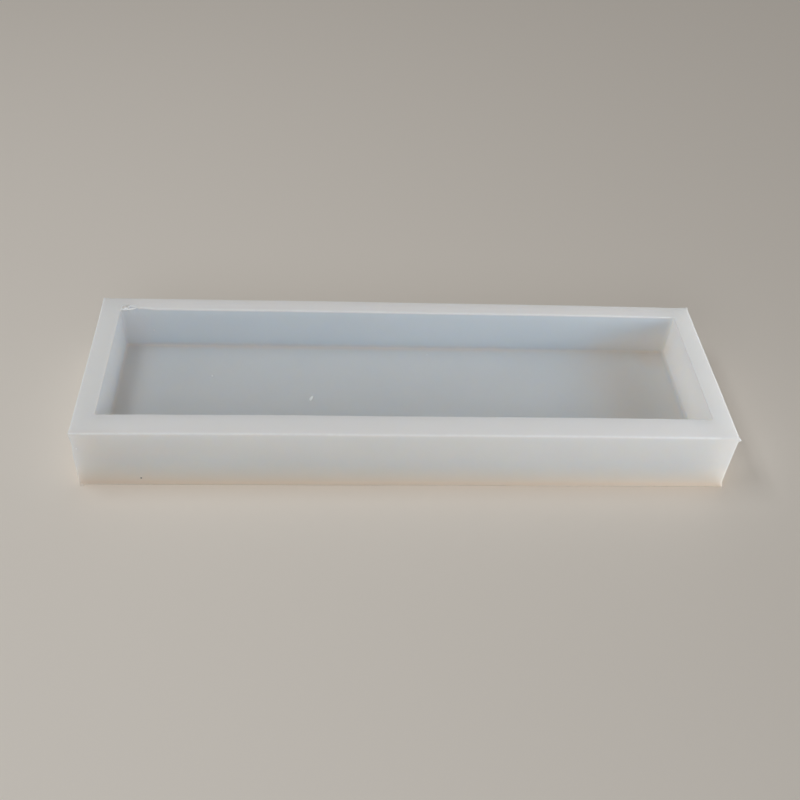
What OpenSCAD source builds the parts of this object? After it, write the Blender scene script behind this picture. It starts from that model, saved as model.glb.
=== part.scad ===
// Open-face casting mould, poured in one piece from translucent silicone rubber.
// Millimetres, +Z up. The origin is the centre of the underside, +X runs along the
// mould and -Y is its front, the side with the thicker wall.

/* [Cavity] */
// Length of the cavity, which is the length of the block that it casts
cavity_length = 300; // [120:5:500]
// Width of the cavity
cavity_width = 80; // [40:1:200]
// Depth of the cavity, from the rim down to its floor
cavity_depth = 25; // [10:1:60]

/* [Walls] */
// Thickness of the two end walls
end_wall = 10; // [6:0.5:20]
// Thickness of the front wall
front_wall = 13; // [6:0.5:20]
// Thickness of the back wall
back_wall = 9; // [6:0.5:20]
// Thickness of the silicone under the cavity
floor_thickness = 10; // [4:0.5:20]

/* [Edges] */
// Radius of the four outer upright edges
outer_radius = 0.8; // [0.4:0.1:4]
// Radius of the cavity's upright corners and of the fillet around its floor
cavity_radius = 1.5; // [0.5:0.1:4]

/* [Hidden] */

$fn = 64;
// How far the cavity is cut past the rim, so that no skin is left across its mouth
overcut = 2;
silicone_colour = [0.80, 0.81, 0.81];

body_length = cavity_length + 2 * end_wall;
body_width = cavity_width + front_wall + back_wall;
body_height = cavity_depth + floor_thickness;
// The thicker front wall sets the cavity back from the middle of the block
cavity_offset = (front_wall - back_wall) / 2;

// A rectangle about the origin with four rounded corners
module rounded_rectangle(length, width, radius) {
    square([length - 2 * radius, width], center = true);
    square([length, width - 2 * radius], center = true);
    for (x = [-1, 1], y = [-1, 1])
        translate([x * (length / 2 - radius), y * (width / 2 - radius)])
            circle(radius);
}

// A round bar along X, with ball ends at its corners, that forms one edge of the cavity floor
module floor_edge(length, radius) {
    rotate([0, 90, 0])
        cylinder(h = length, r = radius, center = true);
    for (x = [-1, 1])
        translate([x * length / 2, 0, 0])
            sphere(radius);
}

// The space that the resin fills, standing on Z = 0 and open at the top
module cavity_space() {
    inset_length = cavity_length - 2 * cavity_radius;
    inset_width = cavity_width - 2 * cavity_radius;

    translate([0, 0, cavity_radius]) {
        linear_extrude(cavity_depth - cavity_radius + overcut)
            rounded_rectangle(cavity_length, cavity_width, cavity_radius);
        for (side = [-1, 1]) {
            translate([0, side * inset_width / 2, 0])
                floor_edge(inset_length, cavity_radius);
            translate([side * inset_length / 2, 0, 0])
                rotate([90, 0, 0])
                    cylinder(h = inset_width, r = cavity_radius, center = true);
        }
    }
    linear_extrude(cavity_depth)
        square([inset_length, inset_width], center = true);
}

// The whole mould: one block of silicone with the cavity in its top
module mould_body() {
    color(silicone_colour)
        difference() {
            linear_extrude(body_height)
                rounded_rectangle(body_length, body_width, outer_radius);
            translate([0, cavity_offset, floor_thickness])
                cavity_space();
        }
}

mould_body();
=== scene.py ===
import math

import bpy
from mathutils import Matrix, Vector, noise


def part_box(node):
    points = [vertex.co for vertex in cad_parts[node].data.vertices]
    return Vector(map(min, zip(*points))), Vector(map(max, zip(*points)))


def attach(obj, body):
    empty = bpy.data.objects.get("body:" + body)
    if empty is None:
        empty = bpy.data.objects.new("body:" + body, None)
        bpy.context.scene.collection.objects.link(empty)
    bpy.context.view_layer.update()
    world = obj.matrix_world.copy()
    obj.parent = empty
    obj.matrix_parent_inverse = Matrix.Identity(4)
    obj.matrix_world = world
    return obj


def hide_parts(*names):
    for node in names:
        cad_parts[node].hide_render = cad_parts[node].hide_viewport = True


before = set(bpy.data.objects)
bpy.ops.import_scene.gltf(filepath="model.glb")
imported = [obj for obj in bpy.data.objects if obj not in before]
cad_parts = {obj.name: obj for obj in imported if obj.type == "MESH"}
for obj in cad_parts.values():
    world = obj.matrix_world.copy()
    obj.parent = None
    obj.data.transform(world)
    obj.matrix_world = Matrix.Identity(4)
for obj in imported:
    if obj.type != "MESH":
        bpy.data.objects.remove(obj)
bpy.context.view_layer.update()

# A long open-face casting mould, poured in one piece from translucent silicone rubber.
# Everything is in metres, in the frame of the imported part: +X runs along the mould, -Y is
# its front and Z = 0 is the surface that it stands on.

MM = 0.001

# Soft edges that the pour gave the block
OUTER_CORNER = 0.8 * MM
CAVITY_CORNER = 1.5 * MM
RIM_EDGE = 0.7 * MM
MOUTH_EDGE = 0.4 * MM

# The free face of the pour is the underside: it crept up the walls of the pouring box, so a
# thin lip stands round the edge of a slightly hollow face
LIP_WIDTH = 4.0 * MM
LIP_HEIGHT = 0.7 * MM
LIP_TIP = 0.25 * MM

# How finely the skin of the block is divided
CORNER_STEPS = 8
LONG_STEPS = 168
SHORT_STEPS = 56
WALL_STEPS = 20
RIM_STEPS = 9
EDGE_STEPS = 5
FILLET_STEPS = 7

BODY = "root"
NODE = "mould_body"

# Everything that rides on the mould, for the softboxes that light it and leave the floor alone
MOULD_PIECES = bpy.data.collections.new("mould_pieces")

# Softboxes below this height in degrees don't light the floor
LOW = 30

# Watts of a softbox of strength 1 at a distance of one metre
FULL_POWER = 3.9

body_low, body_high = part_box(NODE)


def find_cavity():
    """Lowest and highest corners of the cavity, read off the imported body."""
    skin = 2 * MM
    inside = [
        vertex.co
        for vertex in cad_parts[NODE].data.vertices
        if body_low.x + skin < vertex.co.x < body_high.x - skin
        and body_low.y + skin < vertex.co.y < body_high.y - skin
        and vertex.co.z > body_low.z + skin
    ]
    low = Vector(min(point[axis] for point in inside) for axis in range(3))
    high = Vector(max(point[axis] for point in inside) for axis in range(3))
    return low, high


cavity_low, cavity_high = find_cavity()


# ---------------------------------------------------------------- the block's skin


def eased(steps, tightness=0.85):
    """Fractions from 0 to 1 that lie closer together towards both ends."""
    turn = 2 * math.pi
    return [i / steps - tightness * math.sin(turn * i / steps) / turn for i in range(steps + 1)]


def side_points(length, radius, run, steps):
    """One side of a rounded rectangle, from the middle of one corner to the middle of the next,
    as (along, inwards). A side with no radius has its corner points spread over the run."""
    half = CORNER_STEPS // 2
    start = []
    for i in range(half):
        angle = math.radians(45) * (1 - i / half)
        if radius:
            start.append((radius * (1 - math.sin(angle)), radius * (1 - math.cos(angle))))
        else:
            start.append((run * i / half, 0.0))
    straight = [(run + (length - 2 * run) * part, 0.0) for part in eased(steps)]
    end = [(length - along, inwards) for along, inwards in reversed(start)]
    return start + straight + end[:-1]


def outline(low, high, radius, run=None):
    """A rounded rectangle as a closed loop of (x, y), anticlockwise from its front left corner."""
    run = radius if run is None else run
    corners = [(low.x, low.y), (high.x, low.y), (high.x, high.y), (low.x, high.y)]
    ways = [(1, 0), (0, 1), (-1, 0), (0, -1)]
    loop = []
    for (x, y), (dx, dy) in zip(corners, ways):
        length = high.x - low.x if dx else high.y - low.y
        steps = LONG_STEPS if dx else SHORT_STEPS
        for along, inwards in side_points(length, radius, run, steps):
            loop.append((x + dx * along - dy * inwards, y + dy * along + dx * inwards))
    return loop


def outer_ring(inset, z):
    """A loop round the block, inset from its outer faces."""
    shrink = Vector((inset, inset, 0))
    radius = max(OUTER_CORNER - inset, 0.2 * MM)
    return [Vector((x, y, z)) for x, y in outline(body_low + shrink, body_high - shrink, radius)]


def cavity_ring(outset, z):
    """A loop round the cavity: outset is how far it lies outside the cavity's walls."""
    grow = Vector((outset, outset, 0))
    radius = max(CAVITY_CORNER + outset, 0.2 * MM)
    return [Vector((x, y, z)) for x, y in outline(cavity_low - grow, cavity_high + grow, radius)]


def square_ring(low, high, inset, z):
    """A loop with sharp corners, for the edge of a flat face that is a plain grid inside."""
    shrink = Vector((inset, inset, 0))
    return [Vector((x, y, z)) for x, y in outline(low + shrink, high - shrink, 0, 3 * MM)]


def between(first, last, steps):
    """The loops part way from one loop to another, with both ends left out."""
    parts = eased(steps)[1:-1]
    return [[a.lerp(b, part) for a, b in zip(first, last)] for part in parts]


def quarter(steps):
    """(sine, 1 - cosine) at even steps of a quarter turn, with both ends."""
    turns = [math.radians(90) * i / steps for i in range(steps + 1)]
    return [(math.sin(turn), 1 - math.cos(turn)) for turn in turns]


def underside_rings():
    """The hollow face under the block, out to the tip of its lip."""
    base = body_low.z
    rings = [square_ring(body_low, body_high, 1.6 * LIP_WIDTH, base + LIP_HEIGHT)]
    for rise, run in reversed(quarter(FILLET_STEPS)):
        inset = LIP_TIP + (LIP_WIDTH - LIP_TIP) * run
        rings.append(outer_ring(inset, base + 0.04 * MM + (LIP_HEIGHT - 0.04 * MM) * rise))
    rings.append(outer_ring(0.5 * LIP_TIP, base))
    rings.append(outer_ring(0.1 * LIP_TIP, base + 0.1 * MM))
    return rings


def outer_rings():
    """The outer walls and the soft edge above them."""
    top = body_high.z
    foot = outer_ring(0, body_low.z + 0.35 * MM)
    head = outer_ring(0, top - RIM_EDGE)
    rings = [foot] + between(foot, head, WALL_STEPS)
    for out, drop in quarter(EDGE_STEPS):
        rings.append(outer_ring(RIM_EDGE * drop, top - RIM_EDGE * (1 - out)))
    return rings


def rim_rings():
    """The flat rim between the outer edge and the edge of the mouth."""
    top = body_high.z
    return between(outer_ring(RIM_EDGE, top), cavity_ring(MOUTH_EDGE, top), RIM_STEPS)


def cavity_rings():
    """The edge of the mouth, the cavity's walls and the fillet round its floor."""
    top = body_high.z
    floor = cavity_low.z
    rings = []
    for across, drop in quarter(EDGE_STEPS):
        rings.append(cavity_ring(MOUTH_EDGE * (1 - across), top - MOUTH_EDGE * drop))
    foot = cavity_ring(0, floor + CAVITY_CORNER)
    rings += between(rings[-1], foot, WALL_STEPS)
    for down, inwards in quarter(FILLET_STEPS):
        rings.append(cavity_ring(-CAVITY_CORNER * inwards, floor + CAVITY_CORNER * (1 - down)))
    rings.append(square_ring(cavity_low, cavity_high, 2.2 * CAVITY_CORNER, floor))
    return rings


def grid_inside(ring, first, points, faces, facing_up):
    """Fills a square loop, whose first point has the number first, with a plain grid."""
    across = LONG_STEPS + CORNER_STEPS
    deep = SHORT_STEPS + CORNER_STEPS
    count = len(ring)
    number = {}
    for i in range(across + 1):
        for j in range(deep + 1):
            if j == 0:
                number[i, j] = first + i
            elif i == across:
                number[i, j] = first + across + j
            elif j == deep:
                number[i, j] = first + across + deep + across - i
            elif i == 0:
                number[i, j] = first + (count - j) % count
            else:
                number[i, j] = len(points)
                points.append(Vector((ring[i].x, ring[across + j].y, ring[0].z)))
    for i in range(across):
        for j in range(deep):
            face = [number[i, j], number[i + 1, j], number[i + 1, j + 1], number[i, j + 1]]
            faces.append(face if facing_up else face[::-1])


def ring_faces(rows, around):
    """The faces between each loop and the next, for rows loops of around points each."""
    faces = []
    for k in range(rows - 1):
        row = k * around
        for i in range(around):
            after = (i + 1) % around
            faces.append([row + i, row + after, row + around + after, row + around + i])
    return faces


def block_skin():
    """The points and faces of the whole block, before the pour's unevenness."""
    rings = underside_rings() + outer_rings() + rim_rings() + cavity_rings()
    count = len(rings[0])
    points = [point for ring in rings for point in ring]
    faces = ring_faces(len(rings), count)
    grid_inside(rings[0], 0, points, faces, facing_up=False)
    grid_inside(rings[-1], (len(rings) - 1) * count, points, faces, facing_up=True)
    return points, faces


# ---------------------------------------------------------------- how the pour came out


def smooth(value, low, high):
    """0 below low and 1 above high, with a smooth rise between them."""
    part = min(max((value - low) / (high - low), 0.0), 1.0)
    return part * part * (3 - 2 * part)


def bow(point):
    """How far the long walls lean: the front one inwards and the back one outwards, most at
    the rim and half way along."""
    front_lean = 0.8 * MM
    back_lean = 0.4 * MM
    fade = 25 * MM
    along = 1 - (point.x / body_high.x) ** 4
    up = (point.z - body_low.z) / (body_high.z - body_low.z)
    front = 1 - smooth(point.y, cavity_low.y, cavity_low.y + fade)
    back = smooth(point.y, cavity_high.y - fade, cavity_high.y)
    return Vector((0, along * up * (front_lean * front + back_lean * back), 0))


# Without a set seed, noise_vector starts from the clock and the mould differs on every run
noise.seed_set(5)


def waviness(point):
    """Slow unevenness of a hand-made mould, and a little of a finer kind."""
    slow_depth = 0.22
    fine_depth = 0.05
    elsewhere = Vector((3, 7, 1))
    slow = noise.noise_vector(point * 16)
    fine = noise.noise_vector(point * 75 + elsewhere)
    return slow * slow_depth * MM + fine * fine_depth * MM


def corner(x_side, y_side, z_side):
    """An outer corner of the block: each side is -1 for low and 1 for high."""
    sides = (x_side, y_side, z_side)
    return Vector(body_high[i] if side > 0 else body_low[i] for i, side in enumerate(sides))


# Where the silicone ran into the joints of the pouring box, or was nicked when it was cut
# free: (place, how far the mark reaches, how far the skin is moved there)
MARKS = [
    # Flash tips at the four corners of the rim
    (corner(-1, 1, 1), 0.9 * MM, Vector((-0.1, 0.6, 0.4)) * MM),
    (corner(1, 1, 1), 1.0 * MM, Vector((0.4, 0.6, 0.5)) * MM),
    (corner(1, 1, 1) + Vector((-3, 0, 0)) * MM, 3.5 * MM, Vector((0, 0.3, 0.1)) * MM),
    (corner(1, -1, 1) + Vector((0, 0, -0.8)) * MM, 1.0 * MM, Vector((1.1, -0.5, -0.4)) * MM),
    (corner(-1, -1, 1), 0.8 * MM, Vector((-0.5, 0.3, 0.1)) * MM),
    # A dent in the front left upright edge, under its tip
    (corner(-1, -1, 1) + Vector((0, 0, -8)) * MM, 3.5 * MM, Vector((0.6, 0.1, 0)) * MM),
    # A tab at the foot of the front left corner and a nub at the foot of the front right one
    (corner(-1, -1, -1) + Vector((0.7, 0, 0)) * MM, 0.9 * MM, Vector((0, -1.0, 0)) * MM),
    (corner(-1, -1, -1) + Vector((2.1, 0, 0)) * MM, 0.9 * MM, Vector((0, -1.2, 0)) * MM),
    (corner(1, -1, -1) + Vector((-0.3, 0, 0.4)) * MM, 1.8 * MM, Vector((0.8, -0.5, 0)) * MM),
]


def marks(point):
    """The moves of all the marks that reach a point."""
    moved = Vector((0, 0, 0))
    for place, reach, push in MARKS:
        away = (point - place).length / reach
        if away < 3:
            moved += push * math.exp(-away * away)
    return moved


def torn_edge(point):
    """How far the back edge of the mouth is torn back behind the flash at its left end, and how
    far the web in the corner beside it stands forward."""
    reach = 5 * MM
    from_left = point.x - cavity_low.x
    web = 1 - smooth(from_left, 3.0 * MM, 4.2 * MM)
    deep = smooth(from_left, 3.4 * MM, 4.6 * MM) * (1 - smooth(from_left, 8 * MM, 9.4 * MM))
    shallow = smooth(from_left, 3.4 * MM, 4.6 * MM) * (1 - smooth(from_left, 10 * MM, 20 * MM))
    away = math.hypot(point.y - cavity_high.y, point.z - body_high.z)
    depth = (0.8 * deep + 0.9 * shallow - 1.1 * web) * (1 - smooth(away, 0, reach))
    return Vector((0, depth * MM, 0))


def as_poured(point):
    """Where a point of the plain block lies on the real one, never below the floor."""
    moved = point + bow(point) + waviness(point) + marks(point) + torn_edge(point)
    if point.z < body_low.z + LIP_HEIGHT:
        moved.z = point.z + 0.3 * (moved.z - point.z)
    moved.z = max(moved.z, body_low.z)
    return moved


def on_rim(point):
    """1 on the flat of the rim and 0 from 2 mm below it."""
    return 1 - smooth(body_high.z - point.z, 0.3 * MM, 2 * MM)


def above_fillet(point):
    """0 on the cavity's floor and 1 on its walls, rising over the fillet between them."""
    return smooth(point.z, cavity_low.z, cavity_low.z + CAVITY_CORNER)


def cavity_height(point):
    """0 at the cavity's floor and 1 at its mouth."""
    return (point.z - cavity_low.z) / (cavity_high.z - cavity_low.z)


def worn_and_highlit_edge_share(point):
    """How much whiter the edges are painted, partly for scuffs and partly as painted highlight: 1
    on the block's outer edges, less along the front of the rim and round the mouth, least at the
    mouth's two ends, and 0 on the faces."""
    front = point.y - body_low.y
    under = body_high.z - point.z
    gaps = (
        body_high.x - abs(point.x),
        min(front, body_high.y - point.y),
        min(under, point.z - body_low.z),
    )
    outer = 1 - smooth(sorted(gaps)[1], 0, 1.1 * MM)
    # Along the front edge of the rim the painted highlight is weaker and fades out before the right
    # end, though the corner itself keeps it
    if front < 2 * MM and under < 2 * MM:
        right_end = body_high.x - 8 * MM
        outer *= 0.85 * (1 - smooth(point.x, right_end - 4 * MM, right_end))
        outer = max(outer, 1 - smooth(gaps[0] + max(front, under), 0, 1.5 * MM))
    beside = max(abs(point.x) - cavity_high.x, cavity_low.y - point.y, point.y - cavity_high.y)
    mouth = 1 - smooth(max(abs(beside), under), 0, 0.9 * MM)
    mouth *= 1 - 0.8 * smooth(abs(point.x), cavity_high.x - 3 * MM, cavity_high.x - MM)
    return max(outer, 0.8 * mouth)


def rim_light_share(point):
    """Painted light on the rim, which is painted lighter where it catches the light: 1 on the back
    of the rim, a little less on its front, fading towards its two ends, and 0 below it."""
    flat = on_rim(point) * (0.75 + 0.25 * smooth(point.y, 0, cavity_high.y))
    return flat * (1 - 0.8 * smooth(abs(point.x), 132 * MM, 158 * MM))


def matt_share(point):
    """How chalky the skin is: mostly so on the rim, half way round the right end, more on the
    edges and a little elsewhere."""
    right_end = smooth(point.x, body_high.x - 9 * MM, body_high.x - MM)
    return max(0.1 + 0.55 * on_rim(point), 0.5 * right_end, worn_and_highlit_edge_share(point))


def floor_glow_share(point):
    """Painted warm light from the floor, glowing up through the rubber: 1 at the foot of the outer
    walls, fading upwards, and some of it on the cavity's floor.
    """
    if in_cavity(point):
        on_floor = 1 - above_fillet(point)
        beside_end = smooth(point.x, cavity_high.x - 4 * MM, cavity_high.x - CAVITY_CORNER)
        return 0.43 * on_floor * (1 - 0.6 * beside_end)
    share = (16 * MM - point.z) / (14 * MM)
    return min(max(share, 0.0), 1.0)


def in_cavity(point):
    """Whether a point of the plain block belongs to the cavity's walls or floor."""
    skin = 0.1 * MM
    return (
        abs(point.x) < cavity_high.x + skin
        and cavity_low.y - skin < point.y < cavity_high.y + skin
        and point.z > cavity_low.z - skin
    )


def right_wall_shadow_share(point):
    """Where the right wall's shadow is painted: 0 over most of the cavity and 1 at its right end,
    from further off down on the floor.
    """
    start = cavity_high.x - 66 * MM + 51 * MM * cavity_height(point)
    return smooth(point.x, start, start + 45 * MM)


def cavity_shade_share(point):
    """How much painted cool shade the cavity gets: 1 on its long walls, less on its floor and at
    its ends, and 0 on the rest of the block."""
    if not in_cavity(point):
        return 0.0
    on_wall = above_fillet(point)
    depth = smooth(body_high.z - point.z, 0.1 * MM, 1.5 * MM)
    # The end walls get less painted shade, and the right one much less, which is painted as lit
    # through the rubber by the lamps beyond it
    right_wall = smooth(point.x, cavity_high.x - 3 * MM, cavity_high.x)
    left_wall = 1 - smooth(point.x, cavity_low.x, cavity_low.x + 2 * MM)
    ends = (1 - 0.75 * right_wall) * (1 - 0.15 * left_wall * on_wall)
    # In the painted shadow of the right wall the cool shade gives way to painted warm shade
    right_end = right_wall_shadow_share(point) * (0.9 - 0.6 * cavity_height(point))
    return depth * (0.4 + 0.6 * on_wall) * ends * (1 - right_end)


def warm_light_share(point):
    """How much painted warm light there is, from the warm floor under the mould glowing through the
    silicone: a little at the ends of the cavity, along the foot of its back wall and at the left
    end of the front wall, and more in the back right corner of the cavity's floor. At the right end
    it is the warm shade in the painted shadow of the right wall."""
    if not in_cavity(point):
        on_front = 1 - smooth(point.y - body_low.y, 0.5 * MM, 3 * MM)
        return 0.2 * on_front * (1 - smooth(point.x, body_low.x + 5 * MM, body_low.x + 45 * MM))
    on_wall = above_fillet(point)
    # Painted warm shade in the shadow of the right wall
    right = right_wall_shadow_share(point) * (0.42 - 0.17 * on_wall)
    right *= 1 - 0.65 * smooth(point.x, cavity_high.x - 40 * MM, cavity_high.x - 5 * MM)
    right *= 1 - smooth(point.x, cavity_high.x - 2 * MM, cavity_high.x)
    left = 1 - smooth(point.x, cavity_low.x + 4 * MM, cavity_low.x + 24 * MM)
    left *= 0.3 - 0.15 * on_wall
    from_foot = math.hypot(cavity_high.y - point.y, point.z - cavity_low.z)
    foot = 0.25 * (1 - smooth(from_foot, 0.8 * MM, 3 * MM))
    foot *= 1 - 0.8 * smooth(point.x, 20 * MM, 120 * MM)
    # A painted warm glow in the back right corner of the cavity's floor
    spot = point - Vector((cavity_high.x - 10 * MM, cavity_high.y - 4 * MM, cavity_low.z))
    corner_glow = 0.5 * (1 - smooth(spot.length, 2 * MM, 20 * MM)) * (1 - 0.5 * on_wall)
    return max(right, left, foot, corner_glow)


# What is painted on the mould's points, under the names that its material asks for. Much of it is
# painted light and shade, standing for the room and the warm floor as they show in the rubber: cool
# shade in the cavity, the floor's warm light, the right wall's shadow, light on the rim and
# highlights on the edges. So it stays the same when the lights are changed.
SHARES = {
    "edge": worn_and_highlit_edge_share,
    "matt": matt_share,
    "rim": rim_light_share,
    "low": floor_glow_share,
    "cavity": cavity_shade_share,
    "warm_light": warm_light_share,
}


def paint(mesh, name, shares):
    """Stores a share from 0 to 1 at every point, for the material to read."""
    layer = mesh.attributes.new(name, "FLOAT", "POINT")
    layer.data.foreach_set("value", shares)


def place_piece(name, points, faces, material):
    """A finished piece from its points and faces, riding on the mould's one body."""
    mesh = bpy.data.meshes.new(name)
    mesh.from_pydata(points, [], faces)
    mesh.update()
    mesh.shade_smooth()
    mesh.materials.append(material)
    piece = bpy.data.objects.new(name, mesh)
    bpy.context.scene.collection.objects.link(piece)
    MOULD_PIECES.objects.link(piece)
    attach(piece, BODY)
    return piece


def make_mould():
    """The mould's body as one closed mesh."""
    points, faces = block_skin()
    poured = [as_poured(point) for point in points]
    mould = place_piece("silicone_mould", poured, faces, silicone())
    for name, share in SHARES.items():
        paint(mould.data, name, [share(point) for point in points])
    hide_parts(NODE)


# ---------------------------------------------------------------- flash and crumbs


def smooth_line(points, steps):
    """A smooth curve through points, as a Catmull-Rom spline with steps between each pair."""
    first = points[0] * 2 - points[1]
    last = points[-1] * 2 - points[-2]
    guide = [first] + points + [last]
    line = []
    for k in range(len(points) - 1):
        a, b, c, d = guide[k : k + 4]
        for i in range(steps):
            part = i / steps
            bend = (2 * a - 5 * b + 4 * c - d) * part + (3 * (b - c) + d - a) * part * part
            line.append(b + 0.5 * part * (c - a + bend))
    return line + [points[-1]]


def sliver(line, width, thickness, twist):
    """A thin strip of rubber along a line, tapered to both ends and turned by twist along it."""
    around = 10
    points = []
    last = len(line) - 1
    for k, place in enumerate(line):
        ahead = (line[min(k + 1, last)] - line[max(k - 1, 0)]).normalized()
        flat = ahead.cross(Vector((0, 0, 1))).normalized()
        upright = flat.cross(ahead)
        part = k / last
        taper = max(0.12, math.sin(math.pi * part) ** 0.35)
        turn = twist * part
        for i in range(around):
            angle = 2 * math.pi * i / around
            across = 0.5 * width * taper * math.cos(angle)
            up = 0.5 * thickness * taper * math.sin(angle)
            points.append(
                place
                + flat * (across * math.cos(turn) - up * math.sin(turn))
                + upright * (across * math.sin(turn) + up * math.cos(turn))
            )
    faces = ring_faces(len(line), around)
    faces.append(list(range(around))[::-1])
    faces.append([last * around + i for i in range(around)])
    return points, faces


def joined(parts):
    """Several (points, faces) as one."""
    points = []
    faces = []
    for part_points, part_faces in parts:
        start = len(points)
        points += part_points
        faces += [[start + i for i in face] for face in part_faces]
    return points, faces


def make_flash():
    """Torn flash at the left end of the mouth's back edge: a flap that hangs over the cavity, a
    thread that bridges the torn stretch behind it, a web and a flake in the corner, and a lump
    where they meet."""
    start = Vector((cavity_low.x, cavity_high.y, body_high.z))
    flap = [(3.6, -0.9, 0.2), (4.6, -1.0, 0.3), (6.1, -0.8, 0.4), (7.4, -0.4, 0.5), (8.7, 0.4, 0.5)]
    thread = [
        (3.5, -0.8, 0.2),
        (3.9, 0.5, 0.4),
        (4.7, 1.8, 0.5),
        (6.1, 2.2, 0.5),
        (7.9, 2.2, 0.5),
        (8.9, 1.4, 0.1),
    ]
    web = [(0.2, -0.7, 0.0), (1.4, -0.9, 0.2), (2.4, -1.0, 0.1), (3.4, -0.9, 0.0)]
    flake = [(0.7, -0.9, 0.0), (0.6, 0.8, 0.3), (1.1, 2.1, 0.4), (2.1, 2.2, 0.3), (2.9, 1.6, 0.1)]
    strips = []
    for route, width, thickness, twist in (
        (flap, 1.3 * MM, 0.8 * MM, 0.5),
        (thread, 0.6 * MM, 0.4 * MM, 1.5),
        (web, 1.3 * MM, 0.4 * MM, 0.3),
        (flake, 0.8 * MM, 0.3 * MM, 0.8),
    ):
        line = smooth_line([start + Vector(stop) * MM for stop in route], 8)
        strips.append(sliver(line, width, thickness, twist))
    lump = start + Vector((3.2, -0.9, 0.6)) * MM
    strips.append(crumb(lump, (1, 0.4, 0.1), Vector((2.1, 1.9, 1.8)) * MM))
    place_piece("torn_flash", *joined(strips), torn_silicone())


def crumb(place, way, size):
    """A small lump of cured rubber: size is its length, width and height, way where it points."""
    stretch = Vector(way).normalized()
    side = stretch.cross(Vector((0, 0, 1))).normalized()
    up = side.cross(stretch)
    rings = 7
    around = 10
    points = []
    for k in range(rings + 1):
        tilt = math.pi * k / rings
        for i in range(around):
            turn = 2 * math.pi * i / around
            ring = math.sin(tilt)
            ball = Vector((math.cos(tilt), ring * math.cos(turn), ring * math.sin(turn)))
            lumpy = 0.5 + 0.14 * noise.noise(ball * 1.7 + place * 900)
            points.append(
                place
                + stretch * ball.x * size[0] * lumpy
                + side * ball.y * size[1] * lumpy
                + up * ball.z * size[2] * lumpy
            )
    return points, ring_faces(rings + 1, around)


def make_crumbs():
    """Crumbs of silicone on the cavity's floor and walls and on the front wall, and a speck of
    grit that is stuck low on the front wall."""
    floor = cavity_low.z + 0.1 * MM
    back = cavity_high.y
    front = body_low.y
    lumps = [
        (Vector((-101.5 * MM, 17.2 * MM, floor)), (1, 0.3, 0), (1.2, 1.1, 0.9)),
        (Vector((-48.7 * MM, 0.5 * MM, floor)), (1.2, 2.6, 0.5), (3.7, 1.5, 1.8)),
        (Vector((14.8 * MM, 36.5 * MM, floor)), (1, 0.2, 0), (0.7, 0.5, 0.25)),
        (Vector((-133.9 * MM, back, 20.5 * MM)), (1, 0, 0.3), (0.7, 0.3, 0.5)),
        (Vector((-157.5 * MM, front, 25.0 * MM)), (0.2, 0, 1), (0.8, 0.3, 0.6)),
        (Vector((-157.7 * MM, front, 22.4 * MM)), (0, 0, 1), (0.7, 0.25, 0.5)),
    ]
    parts = [crumb(place, way, Vector(size) * MM) for place, way, size in lumps]
    place_piece("silicone_crumbs", *joined(parts), torn_silicone())
    speck_place = Vector((-129.9 * MM, front, 4.8 * MM))
    speck = crumb(speck_place, (1, 0, 0.4), Vector((0.9, 0.4, 0.8)) * MM)
    place_piece("grit_speck", *speck, grit())


# ---------------------------------------------------------------- materials


def new_material(name):
    """An empty node material with its output."""
    material = bpy.data.materials.new(name)
    material.use_nodes = True
    tree = material.node_tree
    tree.nodes.clear()
    return material, tree, tree.nodes.new("ShaderNodeOutputMaterial")


def add(tree, kind, inputs=None, **settings):
    """A new node with its settings made, and each input given a value or linked to a socket."""
    made = tree.nodes.new(kind)
    for name, value in settings.items():
        setattr(made, name, value)
    for name, value in (inputs or {}).items():
        if isinstance(value, bpy.types.NodeSocket):
            tree.links.new(value, made.inputs[name])
        else:
            made.inputs[name].default_value = value
    return made


def blend(tree, first, last, share):
    """A colour that goes from first to last as the share goes from 0 to 1."""
    mix = add(tree, "ShaderNodeMix", {"Factor": share}, data_type="RGBA")
    for number, colour in ((6, first), (7, last)):
        if isinstance(colour, bpy.types.NodeSocket):
            tree.links.new(colour, mix.inputs[number])
        else:
            mix.inputs[number].default_value = (*colour, 1)
    return mix.outputs[2]


def spread(tree, value, low, high, start=0.0, end=1.0):
    """A value's run from low to high, turned into a run from start to end."""
    ends = {"Value": value, "From Min": low, "From Max": high, "To Min": start, "To Max": end}
    return add(tree, "ShaderNodeMapRange", ends).outputs["Result"]


def times(tree, first, second):
    """The product of two values."""
    return add(tree, "ShaderNodeMath", {0: first, 1: second}, operation="MULTIPLY").outputs[0]


def painted(tree, name):
    """A share that was painted on the points of the piece."""
    return add(tree, "ShaderNodeAttribute", attribute_name=name).outputs["Fac"]


def cloud(tree, place, scale, detail):
    """A noise value over the surface."""
    made = add(tree, "ShaderNodeTexNoise", {"Vector": place, "Scale": scale, "Detail": detail})
    return made.outputs["Fac"]


def uneven(tree, height, strength, depth, inputs=None):
    """The directions of a surface that is raised and sunk by a height, as far as the depth."""
    places = {"Height": height, "Strength": strength, "Distance": depth, **(inputs or {})}
    return add(tree, "ShaderNodeBump", places).outputs["Normal"]


def finish_material(tree, output, inputs):
    """Shades the surface with one principled shader."""
    shader = add(tree, "ShaderNodeBsdfPrincipled", inputs)
    tree.links.new(shader.outputs["BSDF"], output.inputs["Surface"])


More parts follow.
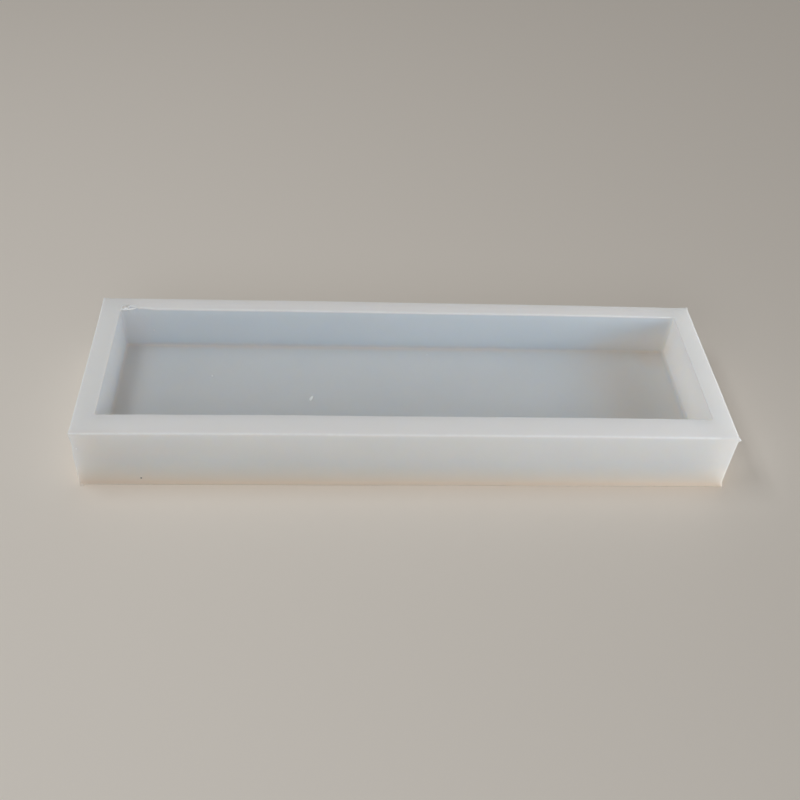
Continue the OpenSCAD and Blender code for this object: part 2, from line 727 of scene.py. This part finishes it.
def silicone():
    """Milky translucent silicone rubber with a satin skin, with light and shade painted into its
    colour: painted cool shade inside the cavity, painted warm light from the floor low down and at
    the cavity's ends, a rim painted lighter where it catches the light, and edges painted whiter,
    partly scuffs and partly painted highlight."""
    material, tree, output = new_material("milky_silicone")
    place = add(tree, "ShaderNodeTexCoord").outputs["Object"]
    edge, matt, rim, low, cavity, warm_light = [painted(tree, name) for name in SHARES]

    milk = spread(tree, cloud(tree, place, 22.0, 4.0), 0.3, 0.7)
    outside = blend(tree, (0.745, 0.745, 0.74), (0.775, 0.775, 0.77), milk)
    # The colour of the cavity's painted cool shade, darker and bluer than the outside
    inside = blend(tree, (0.545, 0.635, 0.715), (0.575, 0.66, 0.735), milk)
    # The rim is painted lighter, as painted light where it catches the light
    outside = blend(tree, outside, (0.9, 0.87, 0.855), rim)
    # Painted warm light from the floor, low down on the outer walls and on the cavity's floor
    warmed = blend(tree, outside, (1.0, 0.84, 0.685), low)
    # Painted cool shade inside the cavity
    colour = blend(tree, warmed, inside, cavity)
    # Painted warm light from the floor glowing through, and painted warm shade in the right wall's
    # shadow
    colour = blend(tree, colour, (0.80, 0.64, 0.55), warm_light)
    # Edges painted whiter, partly scuffs and partly painted highlight
    scuffs = spread(tree, cloud(tree, place, 200.0, 5.0), 0.25, 0.55, 0.45, 1.0)
    worn_and_highlit = times(tree, edge, scuffs)
    dusty = {0: matt, 1: times(tree, low, 0.85)}
    chalk = add(tree, "ShaderNodeMath", dusty, operation="MAXIMUM").outputs[0]
    # Low down the whitened edges take on the painted warm light from the floor
    white = blend(tree, (0.98, 0.98, 0.975), (1.0, 0.92, 0.82), low)
    colour = blend(tree, colour, white, worn_and_highlit)

    smudges = spread(tree, cloud(tree, place, 55.0, 6.0), 0.3, 0.7, 0.36, 0.52)
    handled = {0: worn_and_highlit, 1: 0.18, 2: smudges}
    rough = add(tree, "ShaderNodeMath", handled, operation="MULTIPLY_ADD").outputs[0]
    fine = uneven(tree, cloud(tree, place, 900.0, 3.0), 0.15, 0.05 * MM)
    skin = uneven(tree, cloud(tree, place, 140.0, 2.0), 0.2, 0.1 * MM, {"Normal": fine})
    look = {
        "Base Color": colour,
        "Roughness": rough,
        "Normal": skin,
        "IOR": 1.41,
        "Subsurface Weight": spread(tree, chalk, 0.0, 1.0, 1.0, 0.1),
        "Subsurface Radius": (1.0, 0.8, 0.62),
        "Subsurface Scale": 45 * MM,
    }
    finish_material(tree, output, look)
    return material


def torn_silicone():
    """The whiter, glossier silicone of freshly torn flash and crumbs."""
    material, tree, output = new_material("torn_silicone")
    place = add(tree, "ShaderNodeTexCoord").outputs["Object"]
    pitted = cloud(tree, place, 2200.0, 3.0)
    white = (0.97, 0.97, 0.965)
    whiter = (1.0, 1.0, 0.995)
    look = {
        "Base Color": blend(tree, white, whiter, spread(tree, pitted, 0.3, 0.7)),
        "Roughness": spread(tree, pitted, 0.3, 0.7, 0.12, 0.3),
        "Normal": uneven(tree, pitted, 0.4, 0.05 * MM),
        "IOR": 1.6,
        "Subsurface Weight": 0.2,
        "Subsurface Radius": (1.0, 0.9, 0.8),
        "Subsurface Scale": 1.0 * MM,
    }
    finish_material(tree, output, look)
    return material


def grit():
    """Dark workshop grit."""
    material, tree, output = new_material("grit")
    place = add(tree, "ShaderNodeTexCoord").outputs["Object"]
    colour = blend(tree, (0.10, 0.09, 0.08), (0.22, 0.19, 0.16), cloud(tree, place, 3000.0, 2.0))
    finish_material(tree, output, {"Base Color": colour, "Roughness": 0.8})
    return material


def studio_floor():
    """Pale matt paper with a faint tooth."""
    material, tree, output = new_material("studio_floor")
    place = add(tree, "ShaderNodeTexCoord").outputs["Object"]
    tooth = uneven(tree, cloud(tree, place, 400.0, 3.0), 0.1, 0.1 * MM)
    paper = (0.92, 0.865, 0.8, 1)
    finish_material(tree, output, {"Base Color": paper, "Roughness": 0.9, "Normal": tooth})
    return material


# ---------------------------------------------------------------- studio


def make_floor():
    """A wide pale floor under the mould."""
    reach = 12.0
    corners = [(-reach, -reach, 0), (reach, -reach, 0), (reach, reach, 0), (-reach, reach, 0)]
    mesh = bpy.data.meshes.new("floor")
    mesh.from_pydata(corners, [], [(0, 1, 2, 3)])
    mesh.materials.append(studio_floor())
    floor = bpy.data.objects.new("floor", mesh)
    bpy.context.scene.collection.objects.link(floor)


def aim(thing, target):
    """Turns a lamp or the camera towards a point."""
    way = Vector(target) - thing.location
    thing.rotation_euler = way.to_track_quat("-Z", "Y").to_euler()


def soft_light(name, distance, around, above, size, strength, colour):
    """A rectangular softbox that faces the mould. Around is its direction in degrees (0 is the
    right end and 90 the back) and above its height in degrees. The strength is for one unit of
    distance, so that a light of the same strength is as bright on the mould from further off.
    A low one is shaded from the floor, where it would leave a bright patch."""
    turn, tilt = math.radians(around), math.radians(above)
    level = math.cos(tilt)
    lamp = bpy.data.lights.new(name, "AREA")
    lamp.shape = "RECTANGLE"
    lamp.size, lamp.size_y = size
    lamp.energy = FULL_POWER * strength * distance * distance
    lamp.color = colour
    light = bpy.data.objects.new(name, lamp)
    way = Vector((level * math.cos(turn), level * math.sin(turn), math.sin(tilt)))
    light.location = way * distance
    light.visible_camera = False
    if above < LOW:
        light.light_linking.receiver_collection = MOULD_PIECES
    bpy.context.scene.collection.objects.link(light)
    aim(light, (0, 0, 0))


# Softboxes close to the right end, and further off on the left, in front and behind
SMALL = (0.3, 0.15)
MIDDLE = (0.5, 0.22)
WIDE = (0.6, 0.25)
LONG = (0.8, 0.3)
LIGHTS = [
    ("right_front_light", 0.55, -25, 24, SMALL, 0.36, (0.88, 0.92, 1)),
    ("right_front_low_light", 0.55, -25, 14, SMALL, 0.7, (0.92, 0.96, 1)),
    ("right_back_light", 0.55, 25, 20, SMALL, 0.22, (0.94, 1, 0.99)),
    ("front_light", 0.9, 250, 30, WIDE, 0.29, (0.93, 0.98, 1)),
    ("left_high_light", 1.0, 180, 62, MIDDLE, 0.42, (0.99, 1, 1)),
    ("left_light", 1.0, 180, 25, MIDDLE, 0.165, (0.88, 0.93, 1)),
    ("left_low_light", 1.0, 180, 10, MIDDLE, 0.28, (0.7, 0.86, 1)),
    ("back_right_low_light", 1.0, 65, 10, LONG, 0.09, (0.82, 1, 0.86)),
]


def overhead_light():
    """Even soft light from straight above, as from a lit ceiling."""
    lamp = bpy.data.lights.new("overhead_light", "SUN")
    lamp.energy = 0.19
    lamp.angle = math.radians(45)
    lamp.color = (1, 0.98, 0.89)
    light = bpy.data.objects.new("overhead_light", lamp)
    bpy.context.scene.collection.objects.link(light)


def pale_room():
    """A softly lit room, which looks paler beyond the floor than the light that it gives."""
    world = bpy.data.worlds.new("studio")
    world.use_nodes = True
    tree = world.node_tree
    tree.nodes.clear()
    given = add(tree, "ShaderNodeBackground", {"Color": (1, 0.975, 0.95, 1), "Strength": 0.24})
    seen = add(tree, "ShaderNodeBackground", {"Color": (1, 0.98, 0.95, 1), "Strength": 0.5})
    share = add(tree, "ShaderNodeLightPath").outputs["Is Camera Ray"]
    mix = add(tree, "ShaderNodeMixShader", {0: share, 1: given.outputs[0], 2: seen.outputs[0]})
    output = tree.nodes.new("ShaderNodeOutputWorld")
    tree.links.new(mix.outputs[0], output.inputs["Surface"])
    bpy.context.scene.world = world


def make_lights():
    """The softboxes, the light from above and the room."""
    for light in LIGHTS:
        soft_light(*light)
    overhead_light()
    pale_room()


def make_camera():
    """A 45 mm lens, high in front of the mould and a little to the left."""
    lens = bpy.data.cameras.new("camera")
    lens.lens = 45
    lens.sensor_width = 36
    camera = bpy.data.objects.new("camera", lens)
    camera.location = Vector((-41.6, -380.4, 373.5)) * MM
    camera.rotation_euler = [math.radians(turn) for turn in (46.37, -3.39, -2.72)]
    bpy.context.scene.collection.objects.link(camera)
    bpy.context.scene.camera = camera


def make_picture_settings():
    """Plain colours with no film look, and a clean picture."""
    scene = bpy.context.scene
    scene.view_settings.view_transform = "Standard"
    scene.cycles.use_denoising = True
    scene.cycles.max_bounces = 16
    scene.cycles.diffuse_bounces = 12


make_camera()
make_mould()
make_flash()
make_crumbs()
make_floor()
make_lights()
make_picture_settings()
